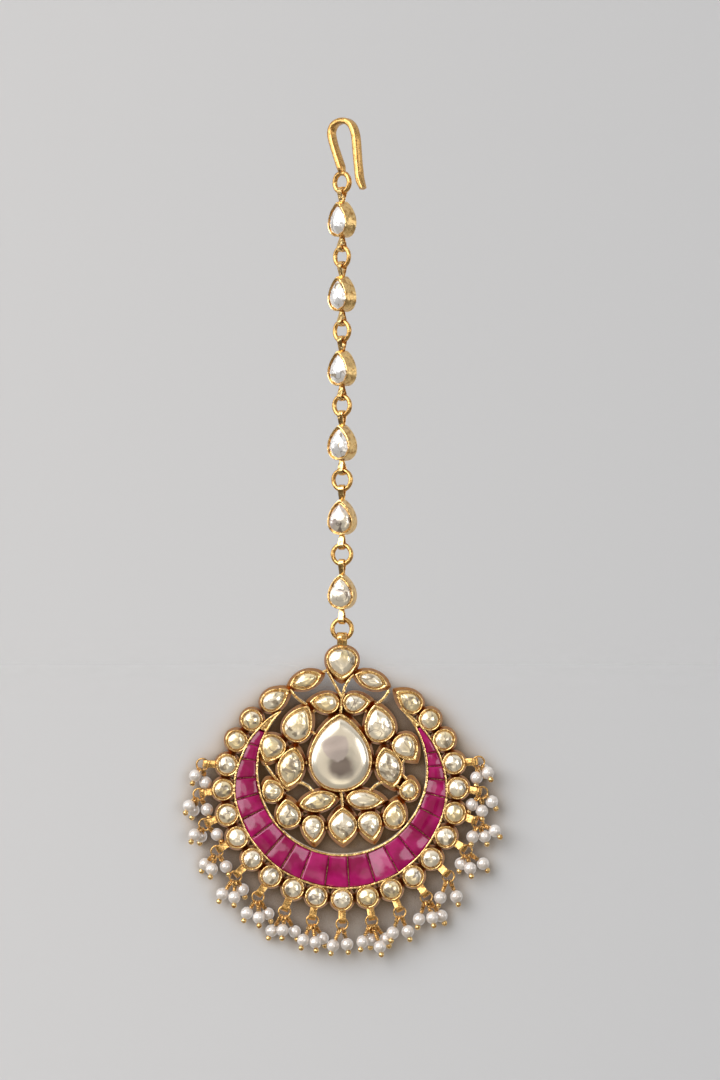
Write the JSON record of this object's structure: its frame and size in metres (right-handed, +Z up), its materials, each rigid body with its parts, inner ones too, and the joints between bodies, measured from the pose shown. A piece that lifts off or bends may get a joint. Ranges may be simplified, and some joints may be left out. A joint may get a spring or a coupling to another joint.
{
  "type": "maang tikka",
  "caption": "Crescent forehead pendant with foiled stones, a ruby band and a pearl fringe, hung from a hair hook by a chain of stone-set links.",
  "frame": {"origin": "underside of the hook's crown, where the tikka hangs", "axes": "+Z up along the chain, -Y out of the front of the pendant, +X to the right as seen from the front"},
  "size_m": [0.0606, 0.0068, 0.1587],
  "materials": {
    "gold": "polished lips, hammered walls",
    "foiled_stone": "clear cut stone on foil",
    "ruby": "polished",
    "pearl": "pearl lustre"
  },
  "bodies": {
    "chain": {"hair_hook": "gold", "chain_link_1": "gold", "chain_link_2": "gold", "chain_link_3": "gold", "chain_link_4": "gold", "chain_link_5": "gold", "chain_link_6": "gold", "jump_ring_1": "gold", "jump_ring_2": "gold", "jump_ring_3": "gold", "jump_ring_4": "gold", "jump_ring_5": "gold", "jump_ring_6": "gold"},
    "pendant": {"pendant_frame": "gold", "ruby_band": "ruby", "stone_centre": "foiled_stone", "stone_upper_left": "foiled_stone", "stone_upper_right": "foiled_stone", "stone_inner_left": "foiled_stone", "stone_inner_right": "foiled_stone", "stone_top": "foiled_stone", "stone_leaf_left": "foiled_stone", "stone_leaf_right": "foiled_stone", "stone_outer_left": "foiled_stone", "stone_outer_right": "foiled_stone", "stone_side_left": "foiled_stone", "stone_side_right": "foiled_stone", "stone_blade_left": "foiled_stone", "stone_blade_right": "foiled_stone", "stone_bud_left": "foiled_stone", "stone_bud_right": "foiled_stone", "stone_base_left": "foiled_stone", "stone_base_right": "foiled_stone", "stone_lower_left": "foiled_stone", "stone_lower_right": "foiled_stone", "stone_foot_left": "foiled_stone", "stone_foot_right": "foiled_stone", "stone_kite": "foiled_stone", "pearl_drop_1": "pearl", "pearl_drop_2": "pearl", "pearl_drop_3": "pearl", "pearl_drop_4": "pearl", "pearl_drop_5": "pearl", "pearl_drop_6": "pearl", "pearl_drop_7": "pearl", "pearl_drop_8": "pearl", "pearl_drop_9": "pearl", "pearl_drop_10": "pearl", "pearl_drop_11": "pearl", "pearl_drop_12": "pearl", "pearl_drop_13": "pearl", "pearl_drop_14": "pearl", "pearl_drop_15": "pearl", "pearl_drop_16": "pearl", "pearl_drop_17": "pearl"}
  },
  "joints": [
    {"name": "pendant_swing", "type": "hinge", "parent": "chain", "child": "pendant", "pos_m": [0, 0, -0.09818], "axis": [1, 0, 0], "range_deg": [-120, 120]}
  ]
}
